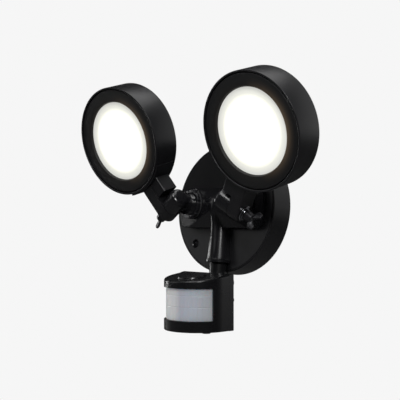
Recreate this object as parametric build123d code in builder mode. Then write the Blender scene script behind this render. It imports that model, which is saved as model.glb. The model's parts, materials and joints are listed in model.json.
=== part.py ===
from build123d import *
import os
from math import atan, cos, degrees, radians, sin, tan

# A wall light with two round LED heads on lap-jointed arms and a motion sensor on a stem.
# Millimetres. The wall is the plane Y = 0, the front faces -Y, +X is to the right, +Z is up.
# The origin is the centre of the wall canopy's back. Sides are -1 (left) and +1 (right).

os.makedirs("parts", exist_ok=True)

SIDES = {"left": -1, "right": 1}

# Canopy
canopy_d = 121.5
canopy_depth = 21.7
canopy_draft = 1.1          # the front is this much smaller in radius than the back
canopy_wall = 2.5
canopy_screw_inset = 13     # of the canopy screws, on the diagonal from lower left to upper right
canopy_screw_angle = 45

# Arm base: a wedge with two angled faces, a roof that sheds rain, and the stem under it
base_end = 7.4              # from each socket boss to the base's end
base_h = 38
base_corner = 9
roof_front_z = 8            # of the roof where it meets the ridge
chin_front_z = -2
chin_back_y = 29.5
base_edge = 1.2             # radius of its eased edges

# Stem and sensor neck
stem_y = -24
stem_top_r = 7.4
stem_bottom_r = 11.6
stem_bottom_z = -50.3
neck_r = 8.5
neck_tube_r = 4.5
neck_tube_l = 14
hinge_z = -68.5
knuckle_r = 5.8
knuckle_w = 21
hinge_bolt_r = 2

# Heads
head_d = 103
head_depth = 28
arm_depth = 13              # of the arm's middle plane behind the head's front
head_pitch = 20             # the heads look down by this angle
arm_lean = 33               # the arm leaves the head this far inwards from straight down
arm_reach = 27.7            # from the head's side to the lap joint's axis
bezel_band = 14.4           # from the head's side to the diffuser that shows

# Lap joint and nipple
joint_x = 33.00              # where the nipple's axis meets the lap joint's axis
joint_out = 30.94           # how far that point stands in front of the canopy's face
joint_z = 2.39
eye_r = 9.6
eye_out = 6.85              # from the nipple's axis to the eye's outer face
eye_in = 10.85              # and to its rounded inner end
slot_gap = 3.1              # between the eye and the bottom of the bracket's slot
ear_w = 12.5
lug_w = 24
lug_t = 17
joint_gap = 0.3
nipple_r = 10.45
screw_r = 3

# Sensor, in its own tilted frame with its origin on the hinge axis
sensor_tilt = 5.5           # looks down by this angle at rest
sensor_w = 61
sensor_front_y = -56.5
sensor_back_y = -10.5
sensor_base_z = -40.8
sensor_top_front_z = 3.7
sensor_top_back_z = 9.7
window_top_z = -2.5
window_base_z = -31
window_half_angle = 71

running_gap = 0.05          # radial, for a shaft that turns in a hole
seat_gap = 0.2              # between a piece and the pocket that it drops into

canopy_r = canopy_d / 2
canopy_screw_r = canopy_r - canopy_screw_inset
canopy_front = -canopy_depth
canopy_face_back = -canopy_depth + canopy_wall
joint_y = canopy_front - joint_out
head_r = head_d / 2
pivot_reach = head_r + arm_reach
lens_r = head_r - bezel_band
eye_shift = lug_w / 2 - ear_w - eye_out
mid_depth = -arm_depth
nipple_turn = degrees(atan(tan(radians(arm_lean)) * sin(radians(head_pitch))))


def head_plane(side):
    """Origin on the head's front, x towards the lap joint, z out of the front."""
    lean, pitch = radians(arm_lean), radians(head_pitch)
    axes = Plane(
        origin=(side * joint_x, joint_y, joint_z),
        x_dir=(-side * sin(lean), cos(lean) * sin(pitch), -cos(lean) * cos(pitch)),
        z_dir=(0, -cos(pitch), -sin(pitch)),
    )
    return Plane(
        origin=axes.from_local_coords((-pivot_reach, -side * eye_shift, arm_depth)),
        x_dir=axes.x_dir,
        z_dir=axes.z_dir,
    )


def nipple_plane(side):
    """Origin where the nipple meets the joint's axis, x outwards along that axis, z to the base."""
    head = head_plane(side)
    turn = radians(nipple_turn)
    return Plane(
        origin=(side * joint_x, joint_y, joint_z),
        x_dir=head.y_dir * side,
        z_dir=(-side * sin(turn), cos(turn), 0),
    )


sensor_plane = Plane(
    origin=(0, stem_y, hinge_z),
    x_dir=(1, 0, 0),
    z_dir=(0, -sin(radians(sensor_tilt)), cos(radians(sensor_tilt))),
)


def save(piece, name, plane=Plane.XY):
    """Put a finished piece from its own frame into the light's frame and write it."""
    placed = plane.from_local_coords(piece)
    placed.label = name
    export_step(placed, f"parts/{name}.step")


boss_r = 14.8
face_reach = 20.8           # from the joint's axis to the socket boss's face
face_seat = 0.8             # of the boss's face in front of the wedge
boss_centre = nipple_plane(1).from_local_coords((0, 0, face_reach + face_seat))
base_w = 2 * (boss_centre.X + boss_r + base_end)

# ---- canopy and what it holds ----

screw_axes = [
    (
        end * canopy_screw_r * cos(radians(canopy_screw_angle)),
        end * canopy_screw_r * sin(radians(canopy_screw_angle)),
    )
    for end in (-1, 1)
]
sleeve_end = 33.6           # from the joint's axis to the inner end of the nipple and its sleeve
socket_r = 13.2             # sleeve of each nipple socket, through the canopy's face
socket_hole_gap = 0.5
base_screw_inset = 6.2
base_screw_points = [
    (base_screw_inset - base_w / 2, 0),
    (base_w / 2 - base_screw_inset, 0),
    (0, base_h / 2 - base_screw_inset),
]
m4_r = 2
slot_w = 0.9                # screwdriver slots
wire_hole_r = 3.2
wire_hole_z = -12
relief_r = neck_r + 0.8
pad_margin = 2.5
seat_top_z = -34            # the stem's foot sits in the canopy's relief from here down
pad_t = 6
rim_fillet = 0.9
groove_inset = 1.2
groove_w = 0.7
groove_depth = 0.6
post_r = 6
post_end = -5
post_bore_r = 2.4
head_recess_r = 3.5
head_recess_depth = 3
gasket_t = 2
gasket_w = 3.8
gasket_seat_r = canopy_r - 2
cavity_r = canopy_r - 3.5

# Planes that look at the front from outside: z is -Y. One is upright, one follows the strap
front = Plane(origin=(0, 0, 0), x_dir=(1, 0, 0), z_dir=(0, -1, 0))
diagonal = Plane(
    origin=(0, 0, 0),
    x_dir=(cos(radians(canopy_screw_angle)), 0, sin(radians(canopy_screw_angle))),
    z_dir=(0, -1, 0),
)

with BuildPart() as canopy:
    with BuildSketch(Plane.YZ) as shell_outline:
        with BuildLine():
            Polyline(
                (0, 0),
                (0, canopy_r),
                (-canopy_depth, canopy_r - canopy_draft),
                (-canopy_depth, 0),
                close=True,
            )
        make_face()
    revolve(axis=Axis.Y)
    fillet(canopy.faces().sort_by(Axis.Y)[0].edges(), rim_fillet)
    with BuildSketch(front):
        Circle(gasket_seat_r)
    extrude(amount=gasket_t, mode=Mode.SUBTRACT)
    # The hollow keeps a solid pad at the bottom of the face, round the stem's seat
    with BuildSketch(front.offset(gasket_t)):
        Circle(cavity_r)
    extrude(amount=canopy_depth - canopy_wall - gasket_t - pad_t, mode=Mode.SUBTRACT)
    with BuildSketch(front.offset(canopy_depth - canopy_wall - pad_t)):
        Circle(cavity_r)
        with Locations((0, (seat_top_z + pad_margin - canopy_r) / 2)):
            Rectangle(
                2 * (relief_r + pad_margin),
                seat_top_z + pad_margin + canopy_r,
                mode=Mode.SUBTRACT,
            )
    extrude(amount=pad_t, mode=Mode.SUBTRACT)
    # Posts round the two canopy screws, each with a sunk seat for the head
    with BuildSketch(front.offset(-post_end)):
        with Locations(*screw_axes):
            Circle(post_r)
    extrude(amount=canopy_depth - canopy_wall + post_end + 0.5)
    with Locations(front.offset(canopy_depth)):
        with Locations(*screw_axes):
            CounterBoreHole(post_bore_r, head_recess_r, head_recess_depth, depth=canopy_depth)
    chamfer(
        canopy.edges().filter_by(GeomType.CIRCLE).filter_by(
            lambda e: abs(e.radius - head_recess_r) < 0.01 and e.center().Y < -canopy_depth + 0.1
        ),
        0.7,
    )
    # A fine groove where the flat face meets the rim
    with BuildSketch(front.offset(canopy_depth)):
        Circle(canopy_r - canopy_draft - groove_inset)
        Circle(canopy_r - canopy_draft - groove_inset - groove_w, mode=Mode.SUBTRACT)
    extrude(amount=-groove_depth, mode=Mode.SUBTRACT)
    # Relief for the foot of the stem, and under it for the sensor's neck to turn in
    with BuildSketch(Plane.XY.offset(seat_top_z)):
        with Locations((0, stem_y)):
            Circle(relief_r)
    extrude(amount=-40, mode=Mode.SUBTRACT)
    # Holes in the face: nipple sockets, base screws and the sensor's wires
    for side in SIDES.values():
        with BuildSketch(nipple_plane(side).offset(face_reach)):
            Circle(socket_r + socket_hole_gap)
        extrude(amount=sleeve_end - face_reach + canopy_wall, mode=Mode.SUBTRACT)
    with BuildSketch(front):
        with Locations(*base_screw_points):
            Circle(m4_r + 0.3)
        with Locations((0, wire_hole_z)):
            Circle(wire_hole_r)
    extrude(amount=canopy_depth + 1, mode=Mode.SUBTRACT)
save(canopy.part, "canopy")

with BuildPart() as wall_gasket:
    with BuildSketch(front):
        Circle(gasket_seat_r - seat_gap)
        Circle(gasket_seat_r - seat_gap - gasket_w, mode=Mode.SUBTRACT)
    extrude(amount=gasket_t)
save(wall_gasket.part, "wall_gasket")

strap_w = 20
strap_t = 1.8
strap_end = 5               # beyond the canopy screws
strap_centre_r = 5.2
box_screw_pcd = 70
box_screw_r = 2.6

with BuildPart() as mounting_strap:
    with BuildSketch(diagonal):
        SlotOverall(2 * (canopy_screw_r + strap_end), strap_w)
        Circle(strap_centre_r, mode=Mode.SUBTRACT)
        with Locations((-box_screw_pcd / 2, 0), (box_screw_pcd / 2, 0)):
            Circle(box_screw_r, mode=Mode.SUBTRACT)
        with Locations((-canopy_screw_r, 0), (canopy_screw_r, 0)):
            Circle(m4_r + running_gap, mode=Mode.SUBTRACT)
    extrude(amount=strap_t)
save(mounting_strap.part, "mounting_strap")

screw_head_t = 2
cross_l = 4.4
for name, (x, z) in zip(SIDES, screw_axes):
    with BuildPart() as canopy_screw:
        with BuildSketch(front):
            with Locations((x, z)):
                Circle(m4_r)
        extrude(amount=canopy_depth - head_recess_depth)
        with BuildSketch(front.offset(canopy_depth - head_recess_depth)):
            with Locations((x, z)):
                Circle(head_recess_r - 0.3)
        extrude(amount=screw_head_t)
        chamfer(canopy_screw.faces().sort_by(Axis.Y)[0].edges(), 0.7)
        with BuildSketch(front.offset(canopy_depth - head_recess_depth + screw_head_t)):
            with Locations((x, z)):
                Rectangle(cross_l, slot_w)
                Rectangle(slot_w, cross_l)
        extrude(amount=-1.2, mode=Mode.SUBTRACT)
    save(canopy_screw.part, f"canopy_screw_{name}")

driver_w = 54
driver_h = 23
driver_depth = 15
driver_drop = 27.5          # from the top of the canopy's hollow to the driver's middle
with BuildPart() as led_driver:
    with BuildSketch(front.offset(-canopy_face_back - driver_depth)):
        with Locations((-6, cavity_r - driver_drop)):
            RectangleRounded(driver_w, driver_h, 2.5)
    extrude(amount=driver_depth)
    fillet(led_driver.faces().sort_by(Axis.Y)[-1].edges(), 1)
save(led_driver.part, "led_driver")

terminal_w = 30
terminal_h = 13
terminal_t = 11
terminal_z = -24
terminal_pitch = 9
with BuildPart() as terminal_block:
    with BuildSketch(front.offset(-canopy_face_back - terminal_t)):
        with Locations((0, terminal_z)):
            Rectangle(terminal_w, terminal_h)
    extrude(amount=terminal_t)
    # Three wire ways and their screw wells
    with BuildSketch(Plane.XY.offset(terminal_z - terminal_h / 2)):
        with Locations((0, canopy_face_back + terminal_t / 2)):
            with GridLocations(terminal_pitch, 0, 3, 1):
                Circle(2)
    extrude(amount=terminal_h, mode=Mode.SUBTRACT)
    with BuildSketch(front.offset(-canopy_face_back - terminal_t)):
        with Locations((0, terminal_z)):
            with GridLocations(terminal_pitch, 0, 3, 1):
                Circle(1.8)
    extrude(amount=terminal_t / 2, mode=Mode.SUBTRACT)
save(terminal_block.part, "terminal_block")

# ---- arm base: manifold and stem in one casting ----

nipple_bore_r = nipple_r + running_gap
turn = radians(nipple_turn)
ridge_y = boss_centre.Y - boss_centre.X * tan(turn)
edge_y = boss_centre.Y + (base_w / 2 - boss_centre.X) * tan(turn)
roof_slope = (base_h / 2 - roof_front_z) / (canopy_front - ridge_y)
chin_slope = (base_h / 2 + chin_front_z) / (-chin_back_y - ridge_y)

with BuildPart() as arm_base:
    # Plan of the wedge: a thin edge at each end and a ridge in the middle
    with BuildSketch(Plane.XY.offset(-base_h / 2)):
        with BuildLine():
            Polyline(
                (-base_w / 2, canopy_front),
                (-base_w / 2, edge_y),
                (0, ridge_y),
                (base_w / 2, edge_y),
                (base_w / 2, canopy_front),
                close=True,
            )
        make_face()
    extrude(amount=base_h)
    # Side profile: the roof falls forward, the chin falls back
    with BuildSketch(Plane.YZ.offset(-base_w / 2)):
        with BuildLine():
            Polyline(
                (canopy_front, base_h / 2),
                (ridge_y - 1, roof_front_z - roof_slope),
                (ridge_y - 1, chin_front_z + chin_slope),
                (-chin_back_y, -base_h / 2),
                (canopy_front, -base_h / 2),
                close=True,
            )
        make_face()
    extrude(amount=base_w, mode=Mode.INTERSECT)
    # The ridge and the front edges of roof and chin are eased, then the ends are rounded
    fillet(
        arm_base.edges().filter_by(
            lambda e: e.center().Y < canopy_front - 2 and abs(e.center().X) < base_w / 2 - 1
        ),
        base_edge,
    )
    with BuildSketch(front.offset(canopy_depth)):
        RectangleRounded(base_w, base_h, base_corner)
    extrude(amount=40, mode=Mode.INTERSECT)
    # Stem: a cone that widens downwards to a small rim
    with BuildSketch(Plane.YZ):
        with BuildLine():
            Polyline(
                (stem_y, chin_front_z),
                (stem_y - stem_top_r, chin_front_z),
                (stem_y - stem_bottom_r, stem_bottom_z + 3.2),
                (stem_y - stem_bottom_r - 0.7, stem_bottom_z + 2.6),
                (stem_y - stem_bottom_r - 0.7, stem_bottom_z),
                (stem_y, stem_bottom_z),
                close=True,
            )
        make_face()
    revolve(axis=Axis((0, stem_y, 0), (0, 0, 1)))
    for side in SIDES.values():
        with BuildSketch(nipple_plane(side).offset(face_reach)):
            Circle(boss_r)
        extrude(amount=6)
    # Flat back against the canopy, then the round foot that sits in its relief
    split(bisect_by=front.offset(canopy_depth), keep=Keep.TOP)
    with BuildSketch(Plane.XY.offset(stem_bottom_z)):
        with Locations((0, stem_y)):
            Circle(neck_r)
    extrude(amount=seat_top_z - joint_gap - stem_bottom_z)
    for side in SIDES.values():
        with BuildSketch(nipple_plane(side).offset(face_reach + 4)):
            Circle(socket_r)
        extrude(amount=sleeve_end - face_reach - 4)
        with BuildSketch(nipple_plane(side).offset(face_reach - 1)):
            Circle(nipple_bore_r)
        extrude(amount=sleeve_end - face_reach + 2, mode=Mode.SUBTRACT)
    # Wire way: up the stem and out through the back
    with BuildSketch(Plane.XY.offset(stem_bottom_z)):
        with Locations((0, stem_y)):
            Circle(neck_tube_r + running_gap)
    extrude(amount=neck_tube_l + 2, mode=Mode.SUBTRACT)
    with BuildSketch(Plane.XY.offset(stem_bottom_z + neck_tube_l + 2)):
        with Locations((0, stem_y)):
            Circle(wire_hole_r)
    extrude(amount=wire_hole_z - stem_bottom_z - neck_tube_l - 2, mode=Mode.SUBTRACT)
    with BuildSketch(front):
        with Locations((0, wire_hole_z)):
            Circle(wire_hole_r)
    extrude(amount=-stem_y, mode=Mode.SUBTRACT)
    with BuildSketch(front.offset(canopy_depth)):
        with Locations(*base_screw_points):
            Circle(m4_r)
    extrude(amount=3.6, mode=Mode.SUBTRACT)
save(arm_base.part, "arm_base")

for name, (x, z) in zip(("left", "right", "top"), base_screw_points):
    with BuildPart() as base_screw:
        with BuildSketch(front.offset(-canopy_face_back)):
            with Locations((x, z)):
                Circle(m4_r)
        extrude(amount=canopy_wall + 3.5)
        with BuildSketch(front.offset(-canopy_face_back)):
            with Locations((x, z)):
                Circle(3.6)
        extrude(amount=-2)
        chamfer(base_screw.faces().sort_by(Axis.Y)[-1].edges(), 0.6)
    save(base_screw.part, f"base_screw_{name}")

# ---- arms: a threaded nipple with the eye of the lap joint ----

nut_t = 3.6
nut_r = 13.8
nut_notches = 8
notch_r = 2
seal_t = 1.7
nipple_start = 10.4
nipple_wire_r = 6.5
screw_hole_depth = 9.5
eye_round = 5
neck_out = eye_out - 0.15
neck_in = nipple_r - 0.45

for name, side in SIDES.items():
    plane = nipple_plane(side)
    with BuildPart() as arm:
        with BuildSketch(Plane.YZ.offset(-eye_in)):
            Circle(eye_r)
        extrude(amount=eye_in + eye_out)
        fillet(arm.faces().sort_by(Axis.X)[0].edges(), eye_round)
        # Neck between the eye and the nipple, nearly flush with the nipple's inner side
        with BuildSketch(Plane.XY):
            with Locations(((neck_out - neck_in) / 2, 0)):
                Circle((neck_out + neck_in) / 2)
        extrude(amount=nipple_start)
        with BuildSketch(Plane.XY.offset(nipple_start)):
            Circle(nipple_r)
        extrude(amount=sleeve_end - nipple_start)
        chamfer(arm.faces().sort_by(Axis.Z)[-1].edges(), 0.8)
        # Blind hole for the wing screw and the wire way down the nipple
        with BuildSketch(Plane.YZ.offset(eye_out)):
            Circle(screw_r + running_gap)
        extrude(amount=-screw_hole_depth, mode=Mode.SUBTRACT)
        with BuildSketch(Plane.XY.offset(sleeve_end)):
            Circle(nipple_wire_r)
        extrude(amount=-(sleeve_end - nipple_start - 3), mode=Mode.SUBTRACT)
    save(arm.part, f"arm_{name}", plane)

    with BuildPart() as lock_nut:
        with BuildSketch(Plane.XY.offset(face_reach - seal_t - nut_t)):
            Circle(nut_r)
            with PolarLocations(nut_r + 0.9, nut_notches):
                Circle(notch_r, mode=Mode.SUBTRACT)
            Circle(nipple_bore_r, mode=Mode.SUBTRACT)
        extrude(amount=nut_t)
    save(lock_nut.part, f"lock_nut_{name}", plane)

    with BuildPart() as seal:
        with BuildSketch(Plane.XY.offset(face_reach - seal_t)):
            Circle(nut_r - 0.4)
            Circle(nipple_bore_r, mode=Mode.SUBTRACT)
        extrude(amount=seal_t)
    save(seal.part, f"nipple_seal_{name}", plane)

# ---- heads ----

rim_w = 1.8
bezel_back = -3
bezel_face = -0.6
bezel_slope = 3.1           # width of the slope from the face down to the diffuser
bezel_lip_r = lens_r + bezel_slope
diffuser_r = head_r - 5
diffuser_t = 2.4
gasket_back = -7
gasket_ledge = 3
head_floor_t = 6
floor_z = head_floor_t - head_depth
rib_depth = 3.5
rib_pitch = 8.5
rib_count = 9
rib_w = 1.8
rib_margin = 8              # between the ribs and the head's side
rib_field_r = head_r - rib_margin
board_t = 1.6
bowl_r = diffuser_r - gasket_ledge - 0.4
bowl_wall = 1.2
bowl_taper = 3.4
led_ring_inset = 11
led_ring_r = lens_r - led_ring_inset
led_count = 12
led_w = 3
saddle_t = 1.5
saddle_half_angle = 28
saddle_w = 23
lug_root = 8                # how far the lug starts inside the head's side
ear_root = 4                # how far the ear starts inside the head's side
ear_edge = 0.9
slot_start = pivot_reach - eye_r - slot_gap
washer_t = 1.3
spring_t = 1.5
washer_r = 7.5
spring_r = 5.8
hole_gap = 0.3              # radial, for a screw that passes freely
wing_screw_reach = 9        # from the head's middle plane into the eye
wing_boss_r = 5.2
wing_boss_l = 7
wing_t = 2.6
wing_turn = 45              # of the wings about the screw's axis
wing_span = 9.5             # from the axis to the tip of a wing
wing_rise = 13.5
# Half of the wings' outline from the foot to the tip, as shares of the span and the rise
wing_points = [(0.32, 0.07), (0.58, 0.37), (1, 0.7), (0.9, 0.96), (0.53, 1)]

for name, side in SIDES.items():
    plane = head_plane(side)
    with BuildPart() as housing:
        with BuildSketch(Plane.XZ):
            with BuildLine():
                Polyline(
                    (head_r - rim_w, 0),
                    (head_r, 0),
                    (head_r, -head_depth),
                    (0, -head_depth),
                    (0, floor_z),
                    (diffuser_r - gasket_ledge, floor_z),
                    (diffuser_r - gasket_ledge, gasket_back),
                    (diffuser_r + seat_gap, gasket_back),
                    (diffuser_r + seat_gap, bezel_back),
                    (head_r - rim_w, bezel_back),
                    close=True,
                )
            make_face()
        revolve(axis=Axis.Z)
        fillet(housing.edges().filter_by(GeomType.CIRCLE).group_by(Axis.Z)[0], 2.5)
        chamfer(housing.faces().sort_by(Axis.Z)[-1].outer_wire().edges(), 0.4)
        # Cooling ribs stand in a round recess in the back, upright on the wall
        with BuildSketch(Plane.XY.offset(-head_depth).rotated((0, 0, side * arm_lean))):
            Circle(rib_field_r)
            with GridLocations(0, rib_pitch, 1, rib_count):
                Rectangle(2 * rib_field_r, rib_w, mode=Mode.SUBTRACT)
        extrude(amount=rib_depth, mode=Mode.SUBTRACT)
    save(housing.part, f"head_housing_{name}", plane)

    with BuildPart() as bezel:
        with BuildSketch(Plane.XZ):
            with BuildLine():
                Polyline(
                    (head_r - rim_w - seat_gap, bezel_face),
                    (head_r - rim_w - seat_gap, bezel_back),
                    (lens_r, bezel_back),
                    (lens_r, bezel_back + 0.7),
                    (bezel_lip_r, bezel_face),
                    close=True,
                )
            make_face()
        revolve(axis=Axis.Z)
        chamfer(bezel.faces().sort_by(Axis.Z)[-1].outer_wire().edges(), 0.3)
    save(bezel.part, f"bezel_{name}", plane)

    with BuildPart() as diffuser:
        with BuildSketch(Plane.XY.offset(bezel_back)):
            Circle(diffuser_r)
        extrude(amount=-diffuser_t)
    save(diffuser.part, f"diffuser_{name}", plane)

    with BuildPart() as gasket:
        with BuildSketch(Plane.XY.offset(bezel_back - diffuser_t)):
            Circle(diffuser_r)
            Circle(diffuser_r - gasket_ledge + 0.5, mode=Mode.SUBTRACT)
        extrude(amount=gasket_back - bezel_back + diffuser_t)
    save(gasket.part, f"head_gasket_{name}", plane)

    with BuildPart() as reflector:
        with BuildSketch(Plane.XZ):
            with BuildLine():
                Polyline(
                    (bowl_r, gasket_back - joint_gap),
                    (bowl_r - bowl_wall, gasket_back - joint_gap),
                    (bowl_r - bowl_taper - bowl_wall, floor_z + board_t),
                    (bowl_r - bowl_taper, floor_z + board_t),
                    close=True,
                )
            make_face()
        revolve(axis=Axis.Z)
    save(reflector.part, f"reflector_{name}", plane)

    with BuildPart() as led_board:
        with BuildSketch(Plane.XY.offset(floor_z)):
            Circle(diffuser_r - gasket_ledge - 1)
        extrude(amount=board_t)
        with BuildSketch(Plane.XY.offset(floor_z + board_t)):
            with PolarLocations(led_ring_r, led_count):
                Rectangle(led_w, led_w)
        extrude(amount=0.8)
    save(led_board.part, f"led_board_{name}", plane)

    # Bracket: a saddle on the head's side, a lug, and one ear past the eye's outer end
    with BuildPart() as bracket:
        with BuildSketch(Plane.XY.offset(mid_depth - saddle_w / 2)):
            with BuildLine():
                CenterArc((0, 0), head_r + saddle_t, -saddle_half_angle, 2 * saddle_half_angle)
                Line(
                    ((head_r + saddle_t) * cos(radians(saddle_half_angle)),
                     (head_r + saddle_t) * sin(radians(saddle_half_angle))),
                    (0, 0),
                )
                Line(
                    (0, 0),
                    ((head_r + saddle_t) * cos(radians(saddle_half_angle)),
                     -(head_r + saddle_t) * sin(radians(saddle_half_angle))),
                )
            make_face()
        extrude(amount=saddle_w)
        with BuildSketch(Plane.YZ.offset(head_r - lug_root)):
            with Locations((0, mid_depth)):
                RectangleRounded(lug_w, lug_t, 1.6)
        extrude(amount=slot_start - head_r + lug_root)
        # The ear's outer edge is bevelled: a plate, and a thin tapered one outside it
        for amount, taper in ((side * (ear_w - joint_gap - ear_edge), 0), (-side * ear_edge, 45)):
            with BuildSketch(Plane.XZ.offset(-side * (lug_w / 2 - ear_edge))):
                with Locations(((head_r - ear_root + pivot_reach) / 2, mid_depth)):
                    Rectangle(pivot_reach - head_r + ear_root, 2 * eye_r)
                with Locations((pivot_reach, mid_depth)):
                    Circle(eye_r)
            extrude(amount=amount, taper=taper)
        # Hollow of the saddle, and the wing screw's hole through the ear
        with BuildSketch(Plane.XY.offset(-head_depth)):
            Circle(head_r)
        extrude(amount=head_depth, mode=Mode.SUBTRACT)
        with BuildSketch(Plane.XZ):
            with Locations((pivot_reach, mid_depth)):
                Circle(screw_r + hole_gap)
        extrude(amount=20, both=True, mode=Mode.SUBTRACT)
    save(bracket.part, f"head_bracket_{name}", plane)

    for washer_name, start, thick, outer in (
        ("flat_washer", lug_w / 2, washer_t, washer_r),
        ("spring_washer", lug_w / 2 + washer_t, spring_t, spring_r),
    ):
        with BuildPart() as washer:
            with BuildSketch(Plane.XZ.offset(-side * start)):
                with Locations((pivot_reach, mid_depth)):
                    Circle(outer)
                    Circle(screw_r + hole_gap, mode=Mode.SUBTRACT)
            extrude(amount=-side * thick)
        save(washer.part, f"{washer_name}_{name}", plane)

    wing_start = lug_w / 2 + washer_t + spring_t
    with BuildPart() as wing_screw:
        with BuildSketch(Plane.XZ.offset(side * wing_screw_reach)):
            with Locations((pivot_reach, mid_depth)):
                Circle(screw_r)
        extrude(amount=-side * (wing_start + wing_screw_reach))
        with BuildSketch(Plane.XZ.offset(-side * wing_start)):
            with Locations((pivot_reach, mid_depth)):
                Circle(wing_boss_r)
        extrude(amount=-side * wing_boss_l, taper=8)
        # Two wings: a leaning blade each side of the boss
        wing_plane = Plane(
            origin=(pivot_reach, side * wing_start, mid_depth),
            x_dir=(cos(radians(wing_turn)), 0, sin(radians(wing_turn))),
            z_dir=(-sin(radians(wing_turn)), 0, cos(radians(wing_turn))),
        )
        with BuildSketch(wing_plane) as wing_outline:
            with BuildLine():
                Polyline(
                    *[(-x * wing_span, side * y * wing_rise) for x, y in wing_points],
                    (0, side * wing_rise / 2),
                    *[(x * wing_span, side * y * wing_rise) for x, y in reversed(wing_points)],
                    close=True,
                )
            make_face()
            fillet(wing_outline.vertices(), 1.1)
        extrude(amount=wing_t / 2, both=True)
    save(wing_screw.part, f"wing_screw_{name}", plane)

# ---- sensor neck ----

neck_end = 3                # the neck's round stops this far above the hinge

with BuildPart() as sensor_neck:
    with BuildSketch(Plane.XY.offset(stem_bottom_z - joint_gap)):
        with Locations((0, stem_y)):
            Circle(neck_r)
    extrude(amount=hinge_z - stem_bottom_z + joint_gap + neck_end)
    chamfer(sensor_neck.faces().sort_by(Axis.Z)[-1].edges(), 0.5)
    with BuildSketch(Plane.YZ.offset(-knuckle_w / 2)):
        with Locations((stem_y, hinge_z)):
            Circle(knuckle_r)
    extrude(amount=knuckle_w)
    with BuildSketch(Plane.XY.offset(hinge_z)):
        with Locations((0, stem_y)):
            Circle(neck_tube_r)
    extrude(amount=stem_bottom_z - hinge_z + neck_tube_l)
    with BuildSketch(Plane.XY.offset(stem_bottom_z + neck_tube_l)):
        with Locations((0, stem_y)):
            Circle(neck_tube_r - 1.9)
    extrude(amount=hinge_z + knuckle_r - stem_bottom_z - neck_tube_l, mode=Mode.SUBTRACT)
    with BuildSketch(Plane.YZ):
        with Locations((stem_y, hinge_z)):
            Circle(hinge_bolt_r + running_gap)
    extrude(amount=knuckle_w, both=True, mode=Mode.SUBTRACT)
save(sensor_neck.part, "sensor_neck")

# ---- sensor ----

sensor_r = sensor_w / 2
sensor_centre_y = sensor_front_y + sensor_r
cover_t = 7
shell_back_y = sensor_back_y - cover_t
shell_wall = 2.4
shell_floor = 5
top_slope = degrees(atan((sensor_top_back_z - sensor_top_front_z) / (sensor_back_y - sensor_front_y)))
top_plane = Plane(
    origin=(0, sensor_front_y, sensor_top_front_z),
    x_dir=(1, 0, 0),
    z_dir=(0, -sin(radians(top_slope)), cos(radians(top_slope))),
)
hub_r = 13
hub_t = 1.2
hub_y = -34
knuckle_half = knuckle_w / 2
ear_x = knuckle_half + joint_gap
sensor_ear_w = 4
neck_notch_r = neck_r + 4
dial_r = 4
dial_proud = 3.4
dial_depth = 3
dial_gap = 0.3
dial_points = [(end * 8, shell_back_y - 6) for end in (-1, 1)]
cover_screw_inset = 5
cover_screw_z = -14
cover_screw_points = [(end * (sensor_w / 2 - cover_screw_inset), cover_screw_z) for end in (-1, 1)]


def d_plan(radius, back_y):
    """A half-round front with straight sides that run to back_y."""
    with BuildSketch() as plan:
        with BuildLine():
            CenterArc((0, sensor_centre_y), radius, 180, 180)
            Polyline(
                (radius, sensor_centre_y),
                (radius, back_y),
                (-radius, back_y),
                (-radius, sensor_centre_y),
            )
        make_face()
    return plan.sketch


def window_sector(inner, outer, half_angle):
    """A ring sector that faces the front."""
    with BuildSketch() as sector:
        with BuildLine():
            first = CenterArc((0, sensor_centre_y), outer, -90 - half_angle, 2 * half_angle)
            second = CenterArc((0, sensor_centre_y), inner, -90 - half_angle, 2 * half_angle)
            Line(first @ 0, second @ 0)
            Line(first @ 1, second @ 1)
        make_face()
    return sector.sketch


with BuildPart() as sensor_shell:
    with BuildSketch(Plane.XY.offset(sensor_base_z)):
        add(d_plan(sensor_r, shell_back_y))
    extrude(amount=sensor_top_back_z - sensor_base_z + 4)
    split(bisect_by=top_plane, keep=Keep.BOTTOM)
    fillet(
        sensor_shell.faces().sort_by(Axis.Z)[-1].edges().filter_by(
            lambda e: e.center().Y < shell_back_y - 0.5
        ),
        1.8,
    )
    fillet(
        sensor_shell.faces().sort_by(Axis.Z)[0].edges().filter_by(
            lambda e: e.center().Y < shell_back_y - 0.5
        ),
        1.2,
    )
    # Round step on the sloping top
    with BuildSketch(top_plane):
        with Locations((0, (hub_y - sensor_front_y) / cos(radians(top_slope)))):
            Circle(hub_r)
    extrude(amount=hub_t, taper=20)
    # Hollow, window and the recesses of the dials
    with BuildSketch(Plane.XY.offset(sensor_base_z + shell_floor)):
        add(d_plan(sensor_r - shell_wall, shell_back_y - shell_wall))
    extrude(amount=window_top_z - sensor_base_z - shell_floor + 3, mode=Mode.SUBTRACT)
    with BuildSketch(Plane.XY.offset(window_base_z)):
        add(window_sector(sensor_r - 6, sensor_r + 2, window_half_angle))
    extrude(amount=window_top_z - window_base_z, mode=Mode.SUBTRACT)
    with BuildSketch(Plane.XY.offset(sensor_base_z)):
        with Locations(*dial_points):
            Circle(dial_r + dial_gap)
    extrude(amount=dial_depth, mode=Mode.SUBTRACT)
save(sensor_shell.part, "sensor_shell", sensor_plane)

with BuildPart() as fresnel_lens:
    with BuildSketch(Plane.XY.offset(window_base_z + seat_gap)):
        add(window_sector(sensor_r - shell_wall - 0.4, sensor_r - 0.8, window_half_angle - 0.4))
    extrude(amount=window_top_z - window_base_z - 2 * seat_gap)
    with BuildSketch(Plane.XY.offset(window_base_z - 1.5)):
        add(window_sector(sensor_r - shell_wall - 1.4, sensor_r - shell_wall - 0.3, window_half_angle + 4))
    extrude(amount=window_top_z - window_base_z + 3)
save(fresnel_lens.part, "fresnel_lens", sensor_plane)

board_z = (window_top_z + window_base_z) / 2
board_back_y = shell_back_y - shell_wall
board_w = sensor_w - 2 * shell_wall - 7
board_h = 31
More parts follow.
